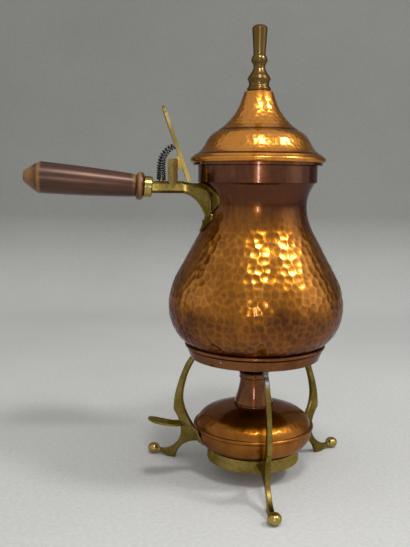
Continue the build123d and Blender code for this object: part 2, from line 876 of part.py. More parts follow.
# Handle: everything on the tilted handle axis, measured outwards from the arm's end
tilt = radians(handle_tilt)
handle_direction = Vector(-cos(tilt), 0, sin(tilt))
handle_origin = Vector(handle_start_x, 0, handle_start_z)
handle_axis = Axis(handle_origin, handle_direction)
handle_section = Plane(origin=handle_origin, x_dir=handle_direction, z_dir=(0, 1, 0))
bead_start = ferrule_length
grip_start = bead_start + bead_length


def across_handle(distance):
    """The plane square to the handle at a distance from the arm's end."""
    return Plane(origin=handle_origin + handle_direction * distance, x_dir=(0, 1, 0), z_dir=handle_direction)


with BuildPart() as handle_rod:
    with BuildSketch(across_handle(-rod_in_arm)):
        Circle(rod_radius)
    extrude(amount=rod_in_arm + grip_start + rod_in_grip)
with BuildPart() as ferrule_pin:
    with BuildSketch(Plane(origin=handle_origin + handle_direction * ferrule_length * 0.6, z_dir=(0, 1, 0))):
        Circle(ferrule_pin_radius)
    extrude(amount=ferrule_radius + 0.1, both=True)
ferrule_pin.part.label = "ferrule_pin"
with BuildPart() as ferrule:
    with BuildSketch(across_handle(0)):
        Circle(ferrule_radius)
    extrude(amount=ferrule_length)
    chamfer(ferrule.edges().filter_by(GeomType.CIRCLE), 0.6)
    add(handle_rod.part, mode=Mode.SUBTRACT)
    add(ferrule_pin.part, mode=Mode.SUBTRACT)
ferrule.part.label = "ferrule"
with BuildPart() as rod_holed:
    add(handle_rod.part)
    add(ferrule_pin.part, mode=Mode.SUBTRACT)
rod_holed.part.label = "handle_rod"
with BuildPart() as handle_bead:
    with BuildSketch(handle_section):
        with BuildLine():
            Polyline((bead_start, 0), (bead_start, bead_radius - 3.0))
            ThreePointArc(
                (bead_start, bead_radius - 3.0),
                (bead_start + bead_length / 2, bead_radius),
                (bead_start + bead_length, bead_radius - 3.0),
            )
            Polyline((bead_start + bead_length, bead_radius - 3.0), (bead_start + bead_length, 0), (bead_start, 0))
        make_face()
    revolve(axis=handle_axis)
    add(handle_rod.part, mode=Mode.SUBTRACT)
handle_bead.part.label = "handle_bead"
with BuildPart() as handle_grip:
    with BuildSketch(handle_section):
        with BuildLine():
            ridge = grip_start + grip_ridge
            Polyline((grip_start + grip_length, 0), (grip_start, 0), (grip_start, grip_neck_radius - 1.0))
            Line((grip_start, grip_neck_radius - 1.0), (grip_start + 1.2, grip_neck_radius))
            ThreePointArc(
                (grip_start + 1.2, grip_neck_radius),
                (grip_start + grip_ridge / 2, (grip_neck_radius + grip_radius) / 2 + 0.5),
                (ridge, grip_radius),
            )
            cone = ThreePointArc(
                (ridge, grip_radius),
                ((ridge + grip_start + grip_length) / 2, (grip_radius + grip_end_radius) / 2 + 0.6),
                (grip_start + grip_length, grip_end_radius),
            )
            Line(cone @ 1, (grip_start + grip_length, 0))
        make_face()
    revolve(axis=handle_axis)
    add(handle_rod.part, mode=Mode.SUBTRACT)
handle_grip.part.label = "handle_grip"

# Bracket: a bevelled arm that flares into a lobed saddle on the neck
def bevelled(width, bottom, top, bevel):
    """The corners of the arm's eight-sided section."""
    side = width / 2
    return [
        (-side + bevel, bottom),
        (side - bevel, bottom),
        (side, bottom + bevel),
        (side, top - bevel),
        (side - bevel, top),
        (-side + bevel, top),
        (-side, top - bevel),
        (-side, bottom + bevel),
    ]


with BuildPart() as saddle:
    with BuildSketch(Plane.XZ):
        with BuildLine():
            pot_wall_section(-saddle_thickness, saddle_thickness)
        make_face()
    revolve(axis=Axis.Z)
    with BuildSketch(Plane(origin=(0, 0, 0), x_dir=(0, -1, 0), z_dir=(-1, 0, 0))):
        with BuildLine():
            Line((0, saddle_top), (8, saddle_top))
            cusp = (saddle_half_width - 12.0, neck_height - 5.6)
            smooth_curve([
                (8, saddle_top),
                (saddle_half_width - 5.4, neck_height + 16.1),
                (saddle_half_width, neck_height + 6.1),
                (saddle_half_width - 3.2, neck_height - 2.6),
                cusp,
            ])
            smooth_curve([
                cusp,
                (cusp[0] + 4.2, neck_height - 10.9),
                (cusp[0], neck_height - 17.9),
                (0, saddle_tip),
            ])
            mirror(about=Plane.YZ)
        make_face()
    extrude(amount=90, mode=Mode.INTERSECT)

with BuildPart() as flare:
    for x, width, bottom, top, bevel in (
        (arm_flare_x, arm_width, arm_bottom, arm_top, arm_bevel),
        (-neck_radius - 15.2, arm_width + 2.5, handle_start_z - 8.0, saddle_top - 0.5, 2.8),
        (-neck_radius - 8.2, arm_width + 9.0, handle_start_z - 14.4, saddle_top - 0.5, 4.6),
        (-neck_radius - 0.7, arm_width + 20.0, handle_start_z - 33.0, saddle_top - 0.1, 8.0),
    ):
        with BuildSketch(Plane(origin=(x, 0, 0), x_dir=(0, 1, 0), z_dir=(1, 0, 0))):
            Polygon(*bevelled(width, bottom, top, bevel), align=None)
    loft()

with BuildPart() as handle_bracket:
    with BuildSketch(Plane(origin=(arm_flare_x, 0, 0), x_dir=(0, -1, 0), z_dir=(-1, 0, 0))):
        Polygon(*bevelled(arm_width, arm_bottom, arm_top, arm_bevel), align=None)
    extrude(amount=arm_flare_x - handle_start_x + arm_height)
    split(bisect_by=across_handle(0), keep=Keep.BOTTOM)
    add(flare.part)
    add(saddle.part)
    add(pot_envelope.part, mode=Mode.SUBTRACT)
    add(handle_rod.part, mode=Mode.SUBTRACT)
    add(bracket_rivets.part, mode=Mode.SUBTRACT)
handle_bracket.part.label = "handle_bracket"

# Post: a forked column whose pointed foot straddles the arm
with BuildPart() as lever_post:
    with BuildSketch(Plane.XY.offset(arm_bottom)):
        with BuildLine():
            Polyline(
                (post_x - post_width / 2, -post_depth / 2 + 1.8),
                (post_x, -post_depth / 2),
                (post_x + post_width / 2, -post_depth / 2 + 1.8),
                (post_x + post_width / 2, post_depth / 2 - 1.8),
                (post_x, post_depth / 2),
                (post_x - post_width / 2, post_depth / 2 - 1.8),
                close=True,
            )
        make_face()
    extrude(amount=post_top - arm_bottom)
    with BuildSketch(Plane.XZ):
        with BuildLine():
            Polyline(
                (post_x - post_width / 2, post_top - 0.8),
                (post_x - post_width / 2 + 0.8, post_top),
                (post_x + post_width / 2 - 0.8, post_top),
                (post_x + post_width / 2, post_top - 0.8),
                (post_x + post_width / 2, arm_top),
                (post_x, arm_top - 7.0),
                (post_x - post_width / 2, arm_top),
                close=True,
            )
        make_face()
    extrude(amount=post_depth, both=True, mode=Mode.INTERSECT)
    slot_bottom = lever_pin_z - lever_lug_radius - 2.4
    with Locations((post_x, 0, slot_bottom)):
        Box(3 * post_width, lever_slot_width, 40, align=(Align.CENTER, Align.CENTER, Align.MIN), mode=Mode.SUBTRACT)
    add(handle_bracket.part, mode=Mode.SUBTRACT)
    with BuildSketch(Plane(origin=(post_x, 0, lever_pin_z), z_dir=(0, 1, 0))):
        Circle(lever_pin_radius)
    extrude(amount=post_depth, both=True, mode=Mode.SUBTRACT)
    with BuildSketch(Plane(origin=(post_x + 0.8, 0, lever_pin_z + 3.8), z_dir=(0, 1, 0))):
        Circle(0.6)
    extrude(amount=post_depth, both=True, mode=Mode.SUBTRACT)
lever_post.part.label = "lever_post"

with BuildPart() as lever_pin:
    with BuildSketch(Plane(origin=(post_x, 0, lever_pin_z), z_dir=(0, 1, 0))):
        Circle(lever_pin_radius)
    extrude(amount=post_depth / 2 - 0.3, both=True)
lever_pin.part.label = "lever_pin"

# Thumb lever: a tapered blade with the lug that turns on the pin
toe = Vector(post_x + lever_toe_reach, 0, arm_top + toe_rise)
blade = Vector(post_x - lever_top_lean, 0, arm_top + lever_height) - toe
blade_up = blade.normalized()
blade_front = Vector(blade_up.Z, 0, -blade_up.X)
blade_side = Plane(origin=toe, x_dir=blade_front, z_dir=(0, -1, 0))
blade_face = Plane(origin=toe, x_dir=(0, 1, 0), z_dir=blade_front)
pin = Vector(post_x, 0, lever_pin_z) - toe
pin_across = pin.dot(blade_front)
pin_along = pin.dot(blade_up)
with BuildPart() as thumb_lever:
    with BuildSketch(blade_side):
        with BuildLine():
            Polyline(
                (-lever_toe_thickness / 2, 0),
                (lever_toe_thickness / 2, 0),
                (lever_top_thickness / 2, blade.length),
                (-lever_top_thickness / 2, blade.length),
                close=True,
            )
        make_face()
    extrude(amount=lever_top_width, both=True)
    fillet(thumb_lever.edges().filter_by(Axis.Y), 0.7)
    with BuildSketch(blade_face.offset(-lever_top_width)):
        with BuildLine():
            shoulder = blade.length - lever_top_width / 2
            smooth_curve([
                (lever_toe_width / 2, 0),
                (lever_toe_width / 2 - 0.4, shoulder * 0.4),
                (lever_top_width / 2 - 0.4, shoulder * 0.86),
                (lever_top_width / 2, shoulder),
            ])
            mirror(about=Plane.YZ)
            ThreePointArc((lever_top_width / 2, shoulder), (0, blade.length), (-lever_top_width / 2, shoulder))
            Line((-lever_toe_width / 2, 0), (lever_toe_width / 2, 0))
        make_face()
    extrude(amount=2 * lever_top_width, mode=Mode.INTERSECT)
    with BuildSketch(blade_side):
        with Locations((pin_across, pin_along)):
            Circle(lever_lug_radius)
        with BuildLine():
            Polyline(
                (pin_across, pin_along - lever_lug_radius),
                (-0.6, pin_along - lever_lug_radius - 2.4),
                (-0.6, pin_along + lever_lug_radius + 3.4),
                (pin_across, pin_along + lever_lug_radius),
                close=True,
            )
        make_face()
    extrude(amount=lever_lug_thickness / 2, both=True)
    with BuildSketch(Plane(origin=(post_x, 0, lever_pin_z), z_dir=(0, 1, 0))):
        Circle(lever_pin_radius + pin_clearance)
    extrude(amount=post_depth, both=True, mode=Mode.SUBTRACT)
thumb_lever.part.label = "thumb_lever"

# Spring: a coil whose axis rises from the arm and then bends over to the back of the lever
spring_base = arm_top + spring_wire / 2 + seat_gap
spring_bend = radians(spring_bend_angle)
spring_length = spring_straight + spring_bend_radius * spring_bend


def spring_point(fraction):
    """A point on the wire's centre line, from the arm (0) to the lever (1)."""
    along = fraction * spring_length
    turned = max(0.0, along - spring_straight) / spring_bend_radius
    centre = Vector(
        spring_x + spring_bend_radius * (1 - cos(turned)),
        0,
        spring_base + min(along, spring_straight) + spring_bend_radius * sin(turned),
    )
    inwards = Vector(cos(turned), 0, -sin(turned))
    angle = 2 * pi * spring_turns * fraction
    radius = spring_radius + (spring_end_radius - spring_radius) * fraction**2
    return centre + inwards * (radius * cos(angle)) + Vector(0, radius * sin(angle), 0)


def spring_tangent(fraction):
    """The wire's direction at a point on its centre line."""
    step = 1e-4
    return (spring_point(fraction + step) - spring_point(fraction - step)).normalized()


with BuildPart() as lever_spring:
    with BuildLine() as coil:
        quarters = 4 * spring_turns
        for quarter in range(quarters):
            begin = quarter / quarters
            finish = (quarter + 1) / quarters
            biarc(spring_point(begin), spring_tangent(begin), spring_point(finish), spring_tangent(finish))
    with BuildSketch(Plane(origin=spring_point(0), z_dir=spring_tangent(0))):
        RegularPolygon(spring_wire / 2, 8)
    sweep()
lever_spring.part.label = "lever_spring"

turn_steps = 36
wire_points = [spring_point(step / (turn_steps * spring_turns)) for step in range(turn_steps * spring_turns + 1)]
spring_gap = min(
    (wire_points[i] - wire_points[j]).length
    for i in range(len(wire_points))
    for j in range(i + turn_steps // 2, min(len(wire_points), i + 2 * turn_steps))
) - spring_wire
print(f"spring: least gap to itself {spring_gap:.2f} mm, length of coil axis {spring_length:.1f} mm")

with BuildPart() as spring_peg:
    with BuildSketch(Plane.XY.offset(arm_top)):
        with Locations((spring_x, 0)):
            Circle(spring_peg_radius)
    extrude(amount=spring_peg_height)
    fillet(spring_peg.edges().sort_by(Axis.Z)[-1], 0.6)
spring_peg.part.label = "spring_peg"

# Set every piece in the object's frame: the middle of its box over the origin, and the floor at z = 0
pieces = stand_pieces + [
    stand_ring.part,
    gallery_ring.part,
    gallery_rivets.part,
    burner_cup_holed.part,
    burner_dome.part,
    burner_handle_holed.part,
    burner_rivets.part,
    burner_bell.part,
    wick_tube.part,
    wick.part,
    pot_body.part,
    pot_base.part,
    neck_collar.part,
    spout.part,
    lid.part,
    lid_plug.part,
    finial.part,
    finial_nut.part,
    handle_bracket.part,
    bracket_rivets.part,
    ferrule.part,
    ferrule_pin.part,
    rod_holed.part,
    handle_bead.part,
    handle_grip.part,
    lever_post.part,
    lever_pin.part,
    thumb_lever.part,
    lever_spring.part,
    spring_peg.part,
]
boxes = [piece.bounding_box() for piece in pieces]
middle_x = (min(box.min.X for box in boxes) + max(box.max.X for box in boxes)) / 2
middle_y = (min(box.min.Y for box in boxes) + max(box.max.Y for box in boxes)) / 2
print(f"the upright axis stands at x = {-middle_x:.3f}, y = {-middle_y:.3f} mm")
for piece in pieces:
    placed = piece.moved(Location((-middle_x, -middle_y, 0)))
    placed.label = piece.label
    export_step(placed, f"parts/{piece.label}.step")
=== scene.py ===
"""Looks of a hammered copper pot with a side handle, on its three-legged spirit-burner stand."""

import math
import random
from collections import namedtuple

import bpy
from bpy.props import FloatProperty, FloatVectorProperty, IntProperty, PointerProperty
from mathutils import Matrix, Vector
from mathutils.kdtree import KDTree


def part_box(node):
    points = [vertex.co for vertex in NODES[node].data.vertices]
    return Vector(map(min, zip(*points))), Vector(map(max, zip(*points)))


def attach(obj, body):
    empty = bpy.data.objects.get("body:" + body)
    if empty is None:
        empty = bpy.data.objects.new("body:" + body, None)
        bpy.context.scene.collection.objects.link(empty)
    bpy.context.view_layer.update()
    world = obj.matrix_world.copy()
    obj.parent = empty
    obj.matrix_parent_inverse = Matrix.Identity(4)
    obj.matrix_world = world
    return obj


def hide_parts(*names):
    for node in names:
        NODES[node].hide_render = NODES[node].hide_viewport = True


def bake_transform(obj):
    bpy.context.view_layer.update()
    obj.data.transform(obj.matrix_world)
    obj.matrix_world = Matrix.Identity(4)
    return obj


bl_info = {
    "name": "Copper pot on a burner stand",
    "version": (1, 0, 0),
    "blender": (4, 5, 0),
    "location": "View3D > Sidebar > Copper pot",
    "description": "Dresses the packed pot and its stand in hammered copper, brass, steel and wood",
    "category": "Object",
}

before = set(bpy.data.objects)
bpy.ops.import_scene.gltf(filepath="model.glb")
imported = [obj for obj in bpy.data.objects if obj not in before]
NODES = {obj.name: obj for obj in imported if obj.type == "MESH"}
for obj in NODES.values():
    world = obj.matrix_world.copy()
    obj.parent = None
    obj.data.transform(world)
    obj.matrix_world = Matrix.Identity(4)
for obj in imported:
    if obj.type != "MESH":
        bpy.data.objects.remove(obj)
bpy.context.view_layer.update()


def middle(node):
    """The middle of a CAD node's box at rest."""
    low, high = (Vector(corner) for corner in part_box(node))
    return (low + high) / 2


# The foot of the pot's upright axis, and the place on that axis that the lamps face
UPRIGHT = Vector((middle("neck_collar").x, middle("neck_collar").y, 0.0))
AIM = UPRIGHT + Vector((0.0, 0.0, 0.2))

# The photograph's frame, and the camera that was fitted to it
PHOTO_HEIGHT = 547
FOCAL_PIXELS = 700.0
SENSOR = 36.0
CAMERA_DISTANCE = 0.62335
CAMERA_HEIGHT = 0.269
CAMERA_SIDE = math.radians(10.0)
CAMERA_YAW = math.radians(5.82)
CAMERA_PITCH = math.radians(7.67)
CAMERA_ROLL = math.radians(-0.44)

# Heights and reaches of the CAD's pieces, and places on the pot that are counted from them
RING_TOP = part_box("stand_ring")[1][2]
COLLAR_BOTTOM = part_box("neck_collar")[0][2]
LID_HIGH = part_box("lid")[1][2]
DOME_LOW, DOME_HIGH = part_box("burner_dome")[0][2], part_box("burner_dome")[1][2]
BELL_LOW, BELL_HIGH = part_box("burner_bell")[0][2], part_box("burner_bell")[1][2]
BELL_REACH = (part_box("burner_bell")[1][0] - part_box("burner_bell")[0][0]) / 2
BELLY_WIDE = RING_TOP + 0.040
NECK_NARROW = COLLAR_BOTTOM - 0.019
LID_GROOVES = (LID_HIGH - 0.0325, LID_HIGH - 0.0530)
SOLDER_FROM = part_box("stand_ring")[0][2] - 0.011
HANDLE_TILT = math.radians(4.6)

# The skins that carry hammer marks. low and high are a skin's edges, and size and depth are shares of the
# settings. calm is how far below the upper edge the marks begin, and fade is the height in which they deepen.
# Each point of a skin also carries how much of a ridge between two marks it is, for the finish to read.
RIDGE = "ridge"
SKIN_LIFT = 0.00006
EASE_ROUNDS = 40
Skin = namedtuple("Skin", "name node body low high mesh_step size depth calm fade")
HAMMERED = (
    Skin(
        "hammered_belly", "pot_body", "pot", RING_TOP + 0.0022, COLLAR_BOTTOM - 0.0004,
        mesh_step=0.0009, size=1.0, depth=1.0, calm=0.022, fade=0.024,
    ),
    Skin(
        "hammered_lid_cone", "lid", "lid", LID_HIGH - 0.0316, LID_HIGH - 0.0012,
        mesh_step=0.0007, size=0.62, depth=0.5, calm=0.0, fade=0.006,
    ),
    Skin(
        "hammered_lid_flare", "lid", "lid", LID_HIGH - 0.0525, LID_HIGH - 0.0335,
        mesh_step=0.0008, size=0.62, depth=0.5, calm=0.0, fade=0.002,
    ),
    Skin(
        "hammered_dome", "burner_dome", "burner", DOME_LOW + 0.0055, DOME_HIGH - 0.0012,
        mesh_step=0.0008, size=0.85, depth=0.7, calm=0.004, fade=0.010,
    ),
)

# The lever's spring: its axis rises from the arm and bends over to the lever, and its coil narrows and opens
COIL_STRAIGHT = 0.0125
COIL_BEND = 0.0176
COIL_BEND_ANGLE = math.radians(68.0)
COIL_WIDE = 0.0034
COIL_NARROW = 0.0020
COIL_STEPS = 20

# The pitch at the coil's foot, as a share of the mean pitch
COIL_CLOSENESS = 0.72

# The brazed seam behind the bracket's flare
SEAM_HALF_WIDTH = 0.0147
SEAM_CORNER = 0.0078
SEAM_DEPTH = 0.012


# Sizes and colours a user may change


class FinishSettings(bpy.types.PropertyGroup):
    """Colours of the metals and the wood."""

    copper_light: FloatVectorProperty(
        name="Copper light", description="Colour of rubbed, golden copper", subtype="COLOR", size=4,
        default=(0.70, 0.27, 0.035, 1.0), min=0.0, max=1.0,
    )
    copper_mid: FloatVectorProperty(
        name="Copper", description="Colour of the copper's even brown tone", subtype="COLOR", size=4,
        default=(0.33, 0.110, 0.003, 1.0), min=0.0, max=1.0,
    )
    # The painted shade low on the belly, up the neck and in the lid's grooves also pulls the copper towards
    # this colour.
    copper_dark: FloatVectorProperty(
        name="Copper patina", description="Colour of the copper's darkest patina", subtype="COLOR", size=4,
        default=(0.090, 0.022, 0.002, 1.0), min=0.0, max=1.0,
    )
    copper_purple: FloatVectorProperty(
        name="Copper tarnish", description="Colour of the bands' purple tarnish", subtype="COLOR", size=4,
        default=(0.115, 0.045, 0.035, 1.0), min=0.0, max=1.0,
    )
    brass_light: FloatVectorProperty(
        name="Brass light", description="Colour of rubbed brass", subtype="COLOR", size=4,
        default=(0.43, 0.31, 0.095, 1.0), min=0.0, max=1.0,
    )
    brass_mid: FloatVectorProperty(
        name="Brass", description="Colour of aged olive brass", subtype="COLOR", size=4,
        default=(0.20, 0.14, 0.032, 1.0), min=0.0, max=1.0,
    )
    brass_dark: FloatVectorProperty(
        name="Brass patina", description="Colour of brass in its hollows", subtype="COLOR", size=4,
        default=(0.050, 0.037, 0.012, 1.0), min=0.0, max=1.0,
    )
    brass_brown: FloatVectorProperty(
        name="Brown brass", description="Colour of the browned brass on the finial", subtype="COLOR", size=4,
        default=(0.15, 0.085, 0.032, 1.0), min=0.0, max=1.0,
    )
    solder: FloatVectorProperty(
        name="Solder", description="Colour of the grey solder at the legs' tops", subtype="COLOR", size=4,
        default=(0.15, 0.14, 0.12, 1.0), min=0.0, max=1.0,
    )
    wood_worn: FloatVectorProperty(
        name="Worn wood", description="Colour of the wood where its varnish is gone", subtype="COLOR", size=4,
        default=(0.21, 0.10, 0.030, 1.0), min=0.0, max=1.0,
    )
    wood_light: FloatVectorProperty(
        name="Wood light", description="Colour of the lighter grain", subtype="COLOR", size=4,
        default=(0.050, 0.013, 0.006, 1.0), min=0.0, max=1.0,
    )
    wood_dark: FloatVectorProperty(
        name="Wood dark", description="Colour of the varnished wood", subtype="COLOR", size=4,
        default=(0.014, 0.004, 0.002, 1.0), min=0.0, max=1.0,
    )
    steel: FloatVectorProperty(
        name="Steel", description="Colour of the spring and pins", subtype="COLOR", size=4,
        default=(0.12, 0.12, 0.125, 1.0), min=0.0, max=1.0,
    )


class HammerSettings(bpy.types.PropertyGroup):
    """Size and depth of the hammer's marks."""

    facet: FloatProperty(
        name="Facet", description="Width of one hammer mark", subtype="DISTANCE", unit="LENGTH",
        default=0.0072, min=0.003, max=0.02,
    )
    depth: FloatProperty(
        name="Depth", description="Depth of one hammer mark", subtype="DISTANCE", unit="LENGTH",
        default=0.00046, min=0.0, max=0.001,
    )


class SpringSettings(bpy.types.PropertyGroup):
    """The lever's coil spring."""

    wire: FloatProperty(
        name="Wire", description="Thickness of the spring's wire", subtype="DISTANCE", unit="LENGTH",
        default=0.0015, min=0.0005, max=0.0025,
    )
    turns: IntProperty(name="Turns", description="Number of turns in the spring", default=15, min=5, max=24)


class StageSettings(bpy.types.PropertyGroup):
    """Floor, backdrop and light."""

    floor_colour: FloatVectorProperty(
        name="Floor", description="Colour of the floor", subtype="COLOR", size=4,
        default=(0.65, 0.65, 0.63, 1.0), min=0.0, max=1.0,
    )
    # The backdrop's grey is darker than the floor's as painted shade: the lamps light the floor from above
    # and not the wall.
    shaded_wall_colour: FloatVectorProperty(
        name="Backdrop", description="Colour of the backdrop behind the floor", subtype="COLOR", size=4,
        default=(0.30, 0.30, 0.285, 1.0), min=0.0, max=1.0,
    )
    room_colour: FloatVectorProperty(
        name="Room", description="Colour of the room around the floor", subtype="COLOR", size=4,
        default=(0.60, 0.60, 0.60, 1.0), min=0.0, max=1.0,
    )
    ceiling_power: FloatProperty(
        name="Ceiling lamps", description="Power of each of the two lamps overhead", unit="POWER",
        default=6.0, min=0.0,
    )
    window_power: FloatProperty(
        name="Window", description="Power of the narrow upright light in front", unit="POWER",
        default=1.6, min=0.0,
    )
    side_power: FloatProperty(
        name="Side panel", description="Power of the large soft panel on the right", unit="POWER",
        default=1.8, min=0.0,
    )
    room_strength: FloatProperty(
        name="Room light", description="Strength of the even light of the room", subtype="FACTOR",
        default=1.0, min=0.0, max=2.0,
    )


# Shader helpers


class Signal:
    """A shader socket that can be used in Python expressions."""

    def __init__(self, finish, socket):
        self.finish = finish
        self.socket = socket

    def _maths(self, operation, first, second):
        return self.finish.maths(operation, first, second)

    def __add__(self, other):
        return self._maths("ADD", self, other)

    def __radd__(self, other):
        return self._maths("ADD", other, self)

    def __sub__(self, other):
        return self._maths("SUBTRACT", self, other)

    def __rsub__(self, other):
        return self._maths("SUBTRACT", other, self)

    def __mul__(self, other):
        return self._maths("MULTIPLY", self, other)

    def __rmul__(self, other):
        return self._maths("MULTIPLY", other, self)

    def __truediv__(self, other):
        return self._maths("DIVIDE", self, other)


class Finish:
    """A material under construction: one principled shader and the nodes that feed it."""

    def __init__(self, name, metallic=1.0, **sockets):
        self.material = bpy.data.materials.new(name)
        self.material.use_nodes = True
        self.tree = self.material.node_tree
        self.tree.nodes.clear()
        output = self.tree.nodes.new("ShaderNodeOutputMaterial")
        self.shader = self.tree.nodes.new("ShaderNodeBsdfPrincipled")
        self.tree.links.new(self.shader.outputs["BSDF"], output.inputs["Surface"])
        self.set(metallic=metallic, **sockets)

    def plug(self, socket, value):
        """Link a signal to a socket, or write a plain value on it."""
        if isinstance(value, Signal):
            self.tree.links.new(value.socket, socket)
        else:
            socket.default_value = value

    def node(self, kind, settings=None, inputs=None, out=0):
        """Add a node, set it, feed its sockets and return one of its outputs."""
        made = self.tree.nodes.new(kind)
        for key, value in (settings or {}).items():
            if key == "stops":
                ramp = made.color_ramp
                while len(ramp.elements) < len(value):
                    ramp.elements.new(1.0)
                for element, (place, colour) in zip(ramp.elements, value):
                    element.position = place
                    element.color = colour
            else:
                setattr(made, key, value)
        for key, value in (inputs or {}).items():
            self.plug(made.inputs[key], value)
        return Signal(self, made.outputs[out])

    def set(self, **sockets):
        """Feed the shader's sockets, named with underscores for spaces."""
        for key, value in sockets.items():
            self.plug(self.shader.inputs[key.replace("_", " ").title().replace("Ior", "IOR")], value)

    def place(self, centre=(0, 0, 0), turn=(0, 0, 0), scale=(1, 1, 1)):
        """Object coordinates counted from a centre, turned and stretched."""
        raw = self.node("ShaderNodeTexCoord", out="Object")
        moved = self.node(
            "ShaderNodeMapping", {"vector_type": "TEXTURE"},
            {"Vector": raw, "Location": centre, "Rotation": turn},
        )
        return self.node("ShaderNodeMapping", {}, {"Vector": moved, "Scale": scale})

    def noise(self, vector, scale, detail=3.0, roughness=0.5):
        """Cloudy noise from 0 to 1."""
        return self.node(
            "ShaderNodeTexNoise", {},
            {"Vector": vector, "Scale": scale, "Detail": detail, "Roughness": roughness},
        )

    def ramp(self, factor, *stops):
        """A colour ramp over a factor."""
        return self.node("ShaderNodeValToRGB", {"stops": stops}, {"Fac": factor})

    def level(self, factor, low, high, to_low=0.0, to_high=1.0):
        """Stretch a range of values to another, without going past its ends."""
        return self.node(
            "ShaderNodeMapRange", {"clamp": True},
            {"Value": factor, "From Min": low, "From Max": high, "To Min": to_low, "To Max": to_high},
        )

    def mix(self, factor, first, second, blend="MIX"):
        """Mix two colours."""
        return self.node(
            "ShaderNodeMix", {"data_type": "RGBA", "blend_type": blend},
            {0: factor, 6: first, 7: second}, out=2,
        )

    def maths(self, operation, *values):
        """One step of shader maths on signals or plain numbers."""
        return self.node("ShaderNodeMath", {"operation": operation}, dict(enumerate(values)))

    def height(self, vector):
        """How high a place is."""
        return self.node("ShaderNodeSeparateXYZ", {}, {"Vector": vector}, out="Z")

    def bump(self, height, distance, strength):
        """A bump that feeds the shader's normal."""
        return self.node("ShaderNodeBump", {}, {"Height": height, "Distance": distance, "Strength": strength})


def grey(value):
    """A grey colour of one level."""
    return (value, value, value, 1.0)


# Finishes


def copper_finish(name, light, tarnish=0.0, streaky=0.5, belly=0.0, shine=0.0, dull=0.0, grooves=()):
    """Lacquered copper: cloudy patina, fine upright streaks, and rubbed ridges between the hammer's marks.

    light lifts the whole tone, streaky is how much the upright streaks count, and tarnish brings the bands'
    purple. belly is how much the painted shade with patina counts, low on the belly and up the neck. shine
    adds lacquer, dull roughens the metal, and grooves are heights where a thin dark line of painted shade is
    drawn.
    """
    tones = bpy.context.scene.pot_finish
    finish = Finish(name, specular_tint=(0.44, 0.36, 0.33, 1.0), coat_roughness=0.08)
    here = finish.place(UPRIGHT)
    height = finish.height(here)
    clouds = finish.noise(here, 16.0, 5.0, 0.6)
    blotches = finish.noise(here, 55.0, 5.0, 0.62)
    streaks = finish.noise(finish.place(UPRIGHT, scale=(240, 240, 12)), 1.0, 4.0, 0.6)
    spots = finish.noise(here, 260.0, 2.0, 0.5)
    ridge = finish.node("ShaderNodeAttribute", {"attribute_name": RIDGE}, out="Fac")
    ragged = height + (clouds - 0.5) * 0.024 + (blotches - 0.5) * 0.016
    # Painted shade, with patina: the tone is pulled towards the dark patina below the belly's widest and up
    # the neck towards the collar.
    low_shade_and_patina = finish.level(ragged, BELLY_WIDE - 0.011, BELLY_WIDE + 0.004, 0.22, 0.0)
    neck_shade_and_patina = finish.level(ragged, NECK_NARROW - 0.034, NECK_NARROW + 0.006, 0.0, 0.30)
    tone = (
        clouds * 0.5 + blotches * 0.32 + streaks * (0.36 * streaky) + ridge * 0.12
        + (light - 0.18 * streaky + 0.09) - (low_shade_and_patina + neck_shade_and_patina) * belly
    )
    colour = finish.ramp(
        tone, (0.22, tones.copper_dark), (0.50, tones.copper_mid), (0.76, tones.copper_light)
    )
    tarnished = finish.level(blotches + clouds, 0.75, 1.15) * tarnish
    colour = finish.mix(tarnished, colour, tones.copper_purple)
    dots = finish.level(spots, 0.68, 0.76) * 0.6
    colour = finish.mix(dots, colour, tones.copper_dark)
    # A thin dark line at each groove's height: painted shade in the grooves.
    for groove in grooves:
        off = finish.maths("ABSOLUTE", height - groove)
        colour = finish.mix(finish.level(off, 0.0004, 0.0009, 0.85, 0.0), colour, tones.copper_dark)
    rough = blotches * 0.6 + streaks * 0.4
    finish.set(
        base_color=colour,
        roughness=finish.level(rough, 0.3, 0.75, 0.20 + dull, 0.33 + dull),
        coat_weight=finish.level(clouds, 0.3, 0.7, 0.34, 0.54) + shine,
        normal=finish.bump(finish.noise(here, 600.0, 3.0) * 0.5 + streaks * 0.5, 0.00006, 0.45),
    )
    return finish.material


def brass_finish(name, solder_from=None, bright=0.0, brown=0.0):
    """Aged cast brass: gold where it is rubbed, olive brown in between, and grey solder above a given height.

    bright lifts the whole tone, and brown is how far it turns from olive to brown.
    """
    tones = bpy.context.scene.pot_finish
    finish = Finish(name, specular_tint=(0.75, 0.66, 0.42, 1.0))
    here = finish.place(UPRIGHT)
    clouds = finish.noise(here, 42.0, 5.0, 0.62)
    grit = finish.noise(here, 380.0, 3.0, 0.6)
    scratches = finish.noise(finish.place(UPRIGHT, turn=(0.5, 0.9, 0.3), scale=(60, 900, 900)), 1.0, 2.0)
    tone = clouds * 0.46 + grit * 0.12 + scratches * 0.16 + 0.13 + bright
    colour = finish.ramp(tone, (0.34, tones.brass_dark), (0.50, tones.brass_mid), (0.68, tones.brass_light))
    colour = finish.mix(brown, colour, tones.brass_brown)
    rough = finish.level(clouds * 0.6 + scratches * 0.4, 0.3, 0.7, 0.36, 0.18)
    if solder_from is not None:
        ragged = finish.height(here) + (finish.noise(here, 160.0, 3.0) - 0.5) * 0.008
        patch = finish.level(ragged, solder_from, solder_from + 0.0012)
        dull = finish.mix(finish.noise(here, 300.0, 3.0), tones.solder, grey(0.12))
        colour = finish.mix(patch, colour, dull)
        rough = rough + patch * 0.14
    finish.set(
        base_color=colour,
        roughness=rough,
        normal=finish.bump(grit * 0.6 + clouds * 0.4, 0.00012, 0.5),
    )
    return finish.material


def steel_finish(name):
    """Dark worn steel."""
    tones = bpy.context.scene.pot_finish
    finish = Finish(name)
    here = finish.place(UPRIGHT)
    clouds = finish.noise(here, 300.0, 3.0, 0.6)
    finish.set(
        base_color=finish.mix(clouds, grey(0.035), tones.steel),
        roughness=finish.level(clouds, 0.3, 0.7, 0.16, 0.34),
    )
    return finish.material


